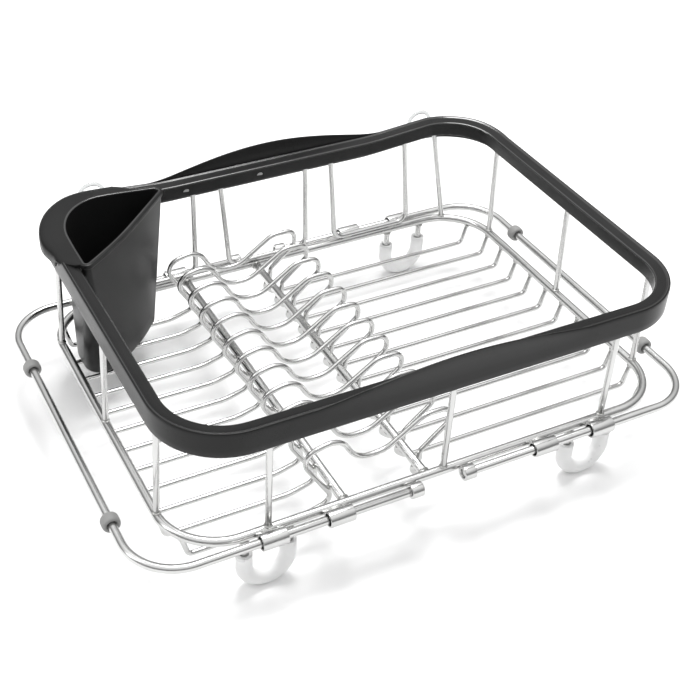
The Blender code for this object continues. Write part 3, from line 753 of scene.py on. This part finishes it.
def rim_profile(lip):
    """Closed rim section as (distance inwards, height); lip is 0 to 1 along a pull lip."""
    top = RIM_Z + lip * (LIP_RISE - 0.0003)
    flare = lip * (LIP_FLARE - 0.0002)
    face = RIM_Z - RIM_BEAD * 0.55
    bottom = RIM_Z - RIM_OUTER_DEPTH
    inner_bottom = RIM_Z - RIM_INNER_DEPTH
    inner_top = face - RIM_SLOPE
    wall = RIM_WALL
    bead = RIM_WALL * 0.62
    rise = top - RIM_Z
    points = [(wall * 0.25, bottom), (0.0003, bottom + 0.0004), (0.0, bottom + 0.0012)]
    points += [(0.0, bottom + 0.005), (0.0, RIM_Z - 0.0075)]
    for share in (0.15, 0.35, 0.6, 0.8):
        points.append((-flare * share ** 1.5, RIM_Z - 0.0075 + (0.0069 + rise) * share))
    points += [
        (0.0001 - flare * 0.93, top - 0.0007),
        (0.0003 - flare, top - 0.0002),
        (0.0007 - flare, top),
        (0.0011 - flare, top - 0.0001),
        (0.0013 - flare * 0.97, top - 0.0004),
    ]
    for share in (0.8, 0.55, 0.3):
        points.append((bead + 0.0002 * share - flare * share ** 1.5,
                       RIM_Z - 0.0001 + (rise - 0.0005) * share + 0.0001 * (1 - share)))
    points += [
        (bead, RIM_Z - 0.00005),
        (bead + 0.0004, RIM_Z),
        (bead + 0.0008, RIM_Z - 0.00012),
        (bead + 0.0011, RIM_Z - 0.0004),
        (bead + 0.0015, face),
    ]
    points += [
        (RIM_WIDTH * 0.6, face - RIM_SLOPE * 0.5),
        (RIM_WIDTH - 0.0011, inner_top),
        (RIM_WIDTH - 0.0005, inner_top - 0.00012),
        (RIM_WIDTH - 0.00015, inner_top - 0.00045),
        (RIM_WIDTH, inner_top - 0.0010),
        (RIM_WIDTH, inner_bottom + 0.0010),
        (RIM_WIDTH - 0.0002, inner_bottom + 0.0003),
        (RIM_WIDTH - 0.0006, inner_bottom),
        (RIM_WIDTH - wall + 0.0004, inner_bottom),
        (RIM_WIDTH - wall, inner_bottom + 0.0004),
        (RIM_WIDTH - wall, inner_top - wall),
        (wall, face - wall),
        (wall, bottom + 0.0004),
        (wall * 0.8, bottom),
    ]
    return points


def rim_stations():
    """(point, outward direction, lip share) round the rim's outer wall."""
    stations = []
    arc_steps = 26
    for quarter in range(4):
        sign_x = (1, -1, -1, 1)[quarter]
        sign_y = (1, 1, -1, -1)[quarter]
        centre = Vector((CENTRE_X + sign_x * (RIM_HALF_X - RIM_CORNER),
                         sign_y * (RIM_HALF_Y - RIM_CORNER), 0))
        for index in range(arc_steps + 1):
            angle = (quarter + index / arc_steps) * pi / 2
            out = Vector((cos(angle), sin(angle), 0))
            stations.append((centre + out * RIM_CORNER, out, 0.0))
        if quarter % 2 == 0:
            steps = 92
            for index in range(steps + 1):
                share = 1 - 2 * index / steps
                place = Vector((CENTRE_X + sign_y * share * LIP_HALF, sign_y * RIM_HALF_Y, 0))
                stations.append((place, Vector((0, sign_y, 0)), (1 - share ** 2) ** 1.5))
    return stations


def build_snap_windows():
    """Window slots in the rim's back inner wall, each a thin near-black sheet just proud of the
    wall as painted shade inside the opening, with the moulded hook that fills each, coloured light
    grey as a painted highlight.
    """
    face_y = RIM_HALF_Y - RIM_WIDTH
    slots, hooks = bmesh.new(), bmesh.new()
    for x in WINDOW_X:
        place = Vector((CENTRE_X + x, face_y, RIM_Z - WINDOW_DEPTH))
        for shape, corners in ((slots, SLOT_OUTLINE), (hooks, HOOK_OUTLINE)):
            front = [shape.verts.new(place + Vector((dx, -dy, dz))) for dx, dy, dz in corners]
            rear = [shape.verts.new(place + Vector((dx, 0.0008, dz))) for dx, _, dz in corners]
            shape.faces.new(front)
            shape.faces.new(rear[::-1])
            for index in range(len(corners)):
                after = (index + 1) % len(corners)
                shape.faces.new((front[index], rear[index], rear[after], front[after]))
            bmesh.ops.recalc_face_normals(shape, faces=shape.faces)
    bmesh.ops.bevel(hooks, geom=hooks.edges[:], offset=0.00012, segments=2, affect="EDGES")
    for name, shape, material in (("rim_window_painted_shade", slots, PAINTED_SHADE),
                                  ("rim_snap_hooks", hooks, HOOK_PAINTED_HIGHLIGHT)):
        mesh = bpy.data.meshes.new(name)
        shape.to_mesh(mesh)
        shape.free()
        make_piece(name, mesh, material, "rack", "rim_plastic")


def build_rim():
    sections = []
    for point, out, lip in rim_stations():
        sections.append([point - out * inward + Z * height for inward, height in rim_profile(lip)])
    mesh = loft_mesh("rim_moulded", sections, closed=True)
    for vertex in mesh.vertices:
        vertex.co.z += corner_lift(vertex.co)
    make_piece("rim_moulded", mesh, RIM, "rack", "rim_plastic", "rim", sharp=50)
    mesh.materials.append(EDGE)
    strips = len(rim_profile(0.0))
    for face in mesh.polygons:
        face.material_index = int(face.index % strips in RIM_GLOSS_STRIPS)


# ---------------------------------------------------------------- cutlery cup

def cup_corner(corner, before, after, radius, steps):
    to_before = (before - corner).normalized()
    to_after = (after - corner).normalized()
    opening = to_before.angle(to_after)
    centre = corner + (to_before + to_after).normalized() * radius / sin(opening / 2)
    first = atan2(-to_before.x, to_before.y)
    turn = pi - opening
    stations = []
    for index in range(steps + 1):
        angle = first - turn * index / steps
        out = Vector((cos(angle), sin(angle), 0))
        stations.append((centre + out * radius, out))
    return stations


def cup_outline(inset, radii, bulge=CUP_BULGE):
    """The cup's rounded three-cornered plan as (point, outward direction)."""
    left = CENTRE_X - (RIM_HALF_X - RIM_WIDTH - CUP_FIT)
    back = RIM_HALF_Y - RIM_WIDTH - CUP_FIT
    front_left = Vector((left, CUP_FRONT_Y, 0))
    tip = Vector((CENTRE_X + CUP_TIP_X, back, 0))
    run = (tip - front_left).normalized()
    inward = Vector((-run.y, run.x, 0))
    offset = front_left + inward * inset
    front_left = offset + run * ((left + inset - offset.x) / run.x)
    tip = offset + run * ((back - inset - offset.y) / run.y)
    back_left = Vector((left + inset, back - inset, 0))
    stations = cup_corner(front_left, tip, back_left, radii[0], 12)
    for corner, walk_steps in (
        (cup_corner(back_left, front_left, tip, radii[1], 26), 16),
        (cup_corner(tip, back_left, front_left, radii[2], 16), 18),
    ):
        point, out = stations[-1]
        stations += [(point.lerp(corner[0][0], index / walk_steps), out)
                     for index in range(1, walk_steps)]
        stations += corner
    last, first = stations[-1][0], stations[0][0]
    for index in range(1, 26):
        share = index / 26
        swell = 4 * share * (1 - share) * bulge
        stations.append((last.lerp(first, share) - inward * swell, -inward))
    return stations


def build_cup():
    corner = RIM_CORNER - RIM_WIDTH - CUP_FIT
    bottom = low("cutlery_cup").z
    top = high("cutlery_cup").z
    under = RIM_Z + 0.0005
    over_rim = RIM_WIDTH + CUP_FIT + 0.0003
    wall = cup_outline(0.0, (0.0034, corner, 0.0046))
    sections = []

    def level(inset, radii, height, bulge=CUP_BULGE):
        return [point + Z * height for point, _ in cup_outline(inset, radii, bulge)]

    for share in (0.0, 0.3, 0.6, 1.0):
        angle = share * pi / 2
        inset = CUP_DRAFT + 0.0034 * (1 - sin(angle))
        grow = 0.0015 * sin(angle)
        sections.append(level(inset, (0.0105 + grow, corner - 0.0055 + grow * 2, 0.0075 + grow),
                              bottom + 0.0034 * (1 - cos(angle))))
    steps = 10
    for index in range(1, steps):
        share = index / steps
        radii = (0.012 + (0.0034 - 0.012) * share, corner - 0.0025 + 0.0025 * share,
                 0.009 + (0.0046 - 0.009) * share)
        height = bottom + 0.0034 + (under - 0.004 - bottom - 0.0034) * share
        sections.append(level(CUP_DRAFT * (1 - share), radii, height))

    profile_rows = []
    for index, (point, out) in enumerate(wall):
        on_rim = out.x < 0.05 and out.y > -0.05 and (out.x < -0.05 or out.y > 0.05)
        reach = hang = 0.0
        if on_rim:
            reach = min(smooth(ramp(point.y, 0.047, 0.0665)),
                        smooth(ramp(CENTRE_X - point.x, 0.100, 0.1175)))
            hang = min(ramp(point.y, 0.0662, 0.0700),
                       ramp(CENTRE_X - point.x, 0.117, 0.1265))
        swell = min(smooth(ramp(point.y, 0.070, 0.088)),
                    smooth(ramp(CENTRE_X - point.x, 0.127, 0.146)))
        extent = 0.00035 + reach * over_rim + swell * 0.0031
        drop = 0.0012 + hang * 0.0068
        crown = top + 0.0001
        edge = crown - 0.0004 - 0.0011 * reach
        skirt = 0.0009 + 0.0005 * reach
        low_edge = under - drop
        row = [
            (0.0, under - 0.0030), (0.0, under - 0.0014),
            (extent * 0.06, under - 0.0004 * reach - 0.0003),
            (extent * 0.5, under), (extent, under - 0.0001),
            (extent, (under + low_edge) / 2), (extent, low_edge + 0.0002),
            (extent + skirt * 0.3, low_edge), (extent + skirt * 0.8, low_edge + 0.0001),
            (extent + skirt, low_edge + 0.0005),
            (extent + skirt, (under + low_edge) / 2 + 0.0002),
            (extent + skirt, edge - 0.0022 * reach - 0.0004),
            (extent + skirt * 0.92 - 0.0006 * reach, edge - 0.0009 * reach - 0.00015),
            (extent + skirt * 0.6 - 0.0016 * reach, edge - 0.0002 * reach),
            (extent * 0.78, edge + 0.0002),
            (extent * 0.4, edge + (crown - edge) * 0.62),
            (-CUP_WALL * 0.25, crown - 0.0001),
            (-CUP_WALL * 0.5, crown),
            (-CUP_WALL * 0.8, crown - 0.0001), (-CUP_WALL * 0.97, crown - 0.0004),
            (-CUP_WALL, crown - 0.0011),
        ]
        profile_rows.append([point + out * e + Z * z for e, z in row])
    crown_levels = range(len(sections) + 16, len(sections) + 20)   # the glossy top edge
    for column in range(len(profile_rows[0])):
        sections.append([row[column] for row in profile_rows])
    for index in range(1, 8):
        share = 1 - index / 8
        radii = (0.0105 + (0.0030 - 0.0105) * share, corner - 0.0045 + 0.0025 * share,
                 0.0075 + (0.0034 - 0.0075) * share)
        height = bottom + 0.0045 + (crown - 0.002 - bottom - 0.0045) * share
        sections.append(level(CUP_WALL + CUP_DRAFT * (1 - share), radii, height))
    for share in (0.0, 0.5, 1.0):
        angle = share * pi / 2
        inset = CUP_DRAFT + CUP_WALL + 0.003 * (1 - cos(angle))
        shrink = 0.0015 * (1 - cos(angle))
        sections.append(level(inset, (0.0105 - shrink, corner - 0.0045 - shrink * 2,
                                      0.0075 - shrink), bottom + 0.0045 - 0.0025 * sin(angle)))
    mesh = loft_mesh("cutlery_cup_moulded", sections, closed=False)
    for vertex in mesh.vertices:
        share = smooth(ramp(vertex.co.z, CUP_LIFT_FROM, under - 0.009))
        vertex.co.z += corner_lift(vertex.co) * share
    make_piece("cutlery_cup_moulded", mesh, CUP, "cutlery_cup", "cup_plastic", "cutlery_cup",
               sharp=55)
    mesh.materials.append(EDGE)
    for face in mesh.polygons:
        face.material_index = int(face.index // len(wall) in crown_levels)


# ---------------------------------------------------------------- welds

def blob(shape, centre, axis_long, axis_wide, sizes):
    """A soft weld bead: a stretched ball in the given directions."""
    normal = axis_long.cross(axis_wide).normalized()
    turn = Matrix((axis_long.normalized(), axis_wide.normalized(), normal)).transposed().to_4x4()
    matrix = Matrix.Translation(centre) @ turn @ Matrix.Diagonal((*sizes, 1.0))
    bmesh.ops.create_icosphere(shape, subdivisions=3, radius=1.0, matrix=matrix)


def weld_piece(name, beads):
    """All the beads of one kind of joint as one piece."""
    shape = bmesh.new()
    for bead in beads:
        blob(shape, *bead)
    mesh = bpy.data.meshes.new(name)
    shape.to_mesh(mesh)
    shape.free()
    return make_piece(name, mesh, WELD, "rack", "steel_wire", sharp=180)


def build_welds(post_feet, back_runs, rail_ends, plate_tips, sleeve_seats):
    weld_piece("upright_welds", [
        (Vector((foot.x, foot.y, RING_Z + RING_WIRE)), X, Y, (0.0027, 0.0027, 0.0009))
        for foot in post_feet])
    beads = []
    for left, right, y, z in back_runs:
        for share in (0.08, 0.92):
            x = left + (right - left) * share
            beads.append((Vector((x, y + 0.0005, z - POST_WIRE)), X, Y, (0.0042, 0.0017, 0.0008)))
    weld_piece("back_wire_welds", beads)
    weld_piece("rail_welds", [
        (Vector((end.x, end.y, end.z)), X, Z, (0.0038, 0.0035, 0.0011)) for end in rail_ends])
    weld_piece("plate_tip_welds", [
        (tip, Y, (tip - bend).normalized().cross(Y), (0.0025, 0.0022, 0.0010))
        for tip, bend in plate_tips])
    beads = []
    for centre, half, sign_y in sleeve_seats:
        seam = Vector((centre.x, sign_y * (RING_HALF_Y + RING_WIRE), centre.z + 0.0012))
        beads.append((seam, X, Z, (half * 0.62, 0.0021, 0.0011)))
        seam = Vector((centre.x, sign_y * (RING_HALF_Y + RING_WIRE), centre.z - 0.0012))
        beads.append((seam, X, Z, (half * 0.62, 0.0021, 0.0011)))
    weld_piece("sleeve_welds", beads)
    beads = []
    for index in range(12):
        y = middle(f"plate_wire_{index + 1:02d}").y
        for rail, direction in ((LEFT_RAIL, Vector((-0.84, 0, -0.54))),
                                (RIGHT_RAIL, Vector((0.98, 0, -0.2)))):
            spot = Vector((rail, y, RING_Z)) + direction.normalized() * (RAIL_WIRE + 0.0001)
            beads.append((spot, Y, direction.cross(Y), (0.0021, 0.0014, 0.0006)))
    weld_piece("plate_rail_welds", beads)
    beads = []
    for end, _ in ENDS:
        for side, _ in SIDES:
            node = f"{side}_{end}_foot"
            for x in (low(node).x + FOOT_WIRE, high(node).x - FOOT_WIRE):
                spot = Vector((x, middle(node).y, high(node).z + 0.0002))
                beads.append((spot, X, Y, (0.0033, 0.0031, 0.0010)))
    weld_piece("foot_welds", beads)


# ---------------------------------------------------------------- stage

def area_light(name, place, target, size, power, colour=(1, 1, 1)):
    data = bpy.data.lights.new(name, "AREA")
    data.shape = "RECTANGLE"
    data.size, data.size_y = size
    data.energy = power
    data.color = colour
    light = bpy.data.objects.new(name, data)
    light.location = place
    light.rotation_euler = (Vector(target) - Vector(place)).to_track_quat("-Z", "Y").to_euler()
    bpy.context.scene.collection.objects.link(light)


def build_floor():
    """A large plain pale floor with a barely uneven tone."""
    shape = bmesh.new()
    bmesh.ops.create_grid(shape, x_segments=2, y_segments=2, size=6.0)
    mesh = bpy.data.meshes.new("floor")
    shape.to_mesh(mesh)
    shape.free()
    material, tree, shader, coordinates = new_material("pale_floor", (0.93, 0.93, 0.93), 0.7)
    shader.inputs["Specular IOR Level"].default_value = 0.2
    clouds = noise_node(tree, coordinates.outputs["Object"], 1.2, 2.0)
    tint(tree, shader, clouds, (0.925, 0.925, 0.925), (0.935, 0.935, 0.935))
    mesh.materials.append(material)
    floor = bpy.data.objects.new("floor", mesh)
    floor.location.z = cad_low.z - 0.0002
    bpy.context.scene.collection.objects.link(floor)


def build_lights():
    world = bpy.data.worlds.new("studio")
    world.use_nodes = True
    tree = world.node_tree
    direction = tree.nodes.new("ShaderNodeTexCoord")
    split = tree.nodes.new("ShaderNodeSeparateXYZ")
    ramp_node = tree.nodes.new("ShaderNodeValToRGB")
    tones = ramp_node.color_ramp.elements
    tones[0].position, tones[1].position = SKY[0][0], SKY[-1][0]
    tones[0].color, tones[1].color = (*[SKY[0][1]] * 3, 1), (*[SKY[-1][1]] * 3, 1)
    for position, tone in SKY[1:-1]:
        tones.new(position).color = (tone, tone, tone, 1)
    background = tree.nodes["Background"]
    background.inputs["Strength"].default_value = SKY_STRENGTH
    tree.links.new(direction.outputs["Generated"], split.inputs["Vector"])
    tree.links.new(split.outputs["Z"], ramp_node.inputs["Fac"])
    tree.links.new(ramp_node.outputs["Color"], background.inputs["Color"])
    bpy.context.scene.world = world
    area_light("key", (0.15, 0.25, 1.4), (0, 0, 0.05), (0.6, 0.6), KEY_POWER)
    area_light("left_box", (-1.3, 0.2, 0.9), (0, 0, 0.05), (0.25, 1.2), SIDE_POWER)


def build_camera():
    """The product view, from the front left and above."""
    azimuth, elevation, roll = radians(26.72), radians(37.18), radians(1.4546)
    distance = 0.8799
    target = Vector((CENTRE_X - 0.02328, 0.04636, RING_Z))
    back = Vector((-sin(azimuth) * cos(elevation), -cos(azimuth) * cos(elevation), sin(elevation)))
    right = Z.cross(back).normalized()
    up = back.cross(right)
    rolled_right = right * cos(roll) + up * sin(roll)
    rolled_up = up * cos(roll) - right * sin(roll)
    data = bpy.data.cameras.new("camera")
    data.sensor_width = 36
    data.lens = 65.13
    data.shift_x = 0.0888
    data.shift_y = -0.0340
    camera = bpy.data.objects.new("camera", data)
    rotation = Matrix((rolled_right, rolled_up, back)).transposed().to_4x4()
    camera.matrix_world = Matrix.Translation(target + back * distance) @ rotation
    bpy.context.scene.collection.objects.link(camera)
    bpy.context.scene.camera = camera


build_rings()
feet_of_posts = build_posts()
runs_of_back_wires = build_back_wires()
ends_of_rails = build_rails()
tips_of_plate_wires = build_plate_wires()
build_feet()
build_loops()
seats_of_sleeves = build_sleeves()
build_arms()
build_rim()
build_snap_windows()
build_cup()
build_welds(feet_of_posts, runs_of_back_wires, ends_of_rails, tips_of_plate_wires,
            seats_of_sleeves)
build_floor()
build_lights()
build_camera()
bpy.context.scene.view_settings.view_transform = "Standard"
